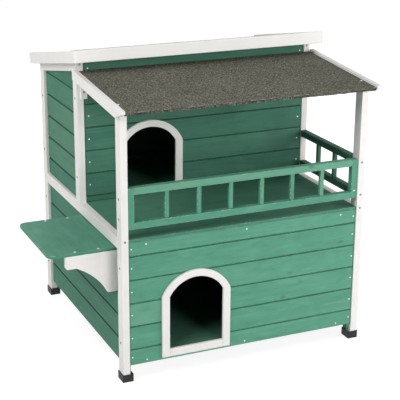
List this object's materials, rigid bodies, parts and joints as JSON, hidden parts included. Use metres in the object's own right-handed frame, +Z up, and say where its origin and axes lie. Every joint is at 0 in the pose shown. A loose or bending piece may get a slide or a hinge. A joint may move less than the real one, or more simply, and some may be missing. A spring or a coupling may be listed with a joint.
{
  "type": "cat house",
  "caption": "Two-storey plank cat house on posts with arched doorways, a railed balcony under a felted porch roof, a hinged felted lid and a bracketed side shelf.",
  "frame": {"origin": "middle of the bounding box at floor level, under the feet", "axes": "+X to the right seen from the front, -Y out of the front wall, +Z up"},
  "size_m": [0.895, 0.738, 0.8211],
  "materials": {
    "white_paint": "satin white paint",
    "green_stain": "semi-matt green stain",
    "bare_pine": "untreated",
    "roof_felt": "mineral grit",
    "zinc_steel": "zinc plated",
    "black_plastic": "matt"
  },
  "bodies": {
    "house": {"front_post_left": "white_paint", "front_post_right": "white_paint", "middle_post_left": "white_paint", "middle_post_right": "white_paint", "rear_post_left": "white_paint", "rear_post_right": "white_paint", "mid_rail_left": "white_paint", "mid_rail_right": "white_paint", "top_rail_left": "white_paint", "top_rail_right": "white_paint", "rake_board_left": "white_paint", "rake_board_right": "white_paint", "roof_blocks": "white_paint", "rear_top_rail": "white_paint", "lower_door_arch": "white_paint", "lower_door_jambs": "white_paint", "lower_door_sill": "white_paint", "upper_door_arch": "white_paint", "upper_door_jambs": "white_paint", "porch_cleats": "white_paint", "shelf_bracket_front": "white_paint", "shelf_bracket_rear": "white_paint", "lower_side_planks_left": "green_stain", "lower_side_planks_right": "green_stain", "upper_side_planks_left": "green_stain", "upper_side_planks_right": "green_stain", "front_planks": "green_stain", "upper_wall_planks": "green_stain", "rear_planks": "green_stain", "balcony_floor": "green_stain", "front_railing_stiles": "green_stain", "front_railing_top": "green_stain", "front_railing_bottom": "green_stain", "front_balusters": "green_stain", "side_railing_stile": "green_stain", "side_railing_top": "green_stain", "side_railing_bottom": "green_stain", "side_balusters": "green_stain", "shelf_board": "green_stain", "front_cleats": "green_stain", "upper_wall_cleats": "green_stain", "rear_cleats": "green_stain", "ground_floor": "green_stain", "side_cleats_left": "bare_pine", "side_cleats_right": "bare_pine", "floor_battens": "bare_pine", "porch_deck": "bare_pine", "porch_felt": "roof_felt", "hinge_wall_leaves": "zinc_steel", "hinge_pins": "zinc_steel", "post_screws": "zinc_steel", "plank_nails": "zinc_steel", "hinge_screws": "zinc_steel", "foot_caps": "black_plastic"},
    "lid": {"lid_deck": "bare_pine", "lid_felt": "roof_felt", "lid_front_fascia": "white_paint", "lid_fascia_left": "white_paint", "lid_fascia_right": "white_paint", "hinge_lid_leaves": "zinc_steel"}
  },
  "joints": [
    {"name": "lid_hinge", "type": "hinge", "parent": "house", "child": "lid", "pos_m": [0.0775, 0.3374, 0.72735], "axis": [-1, 0, 0], "range_deg": [0, 90]}
  ]
}
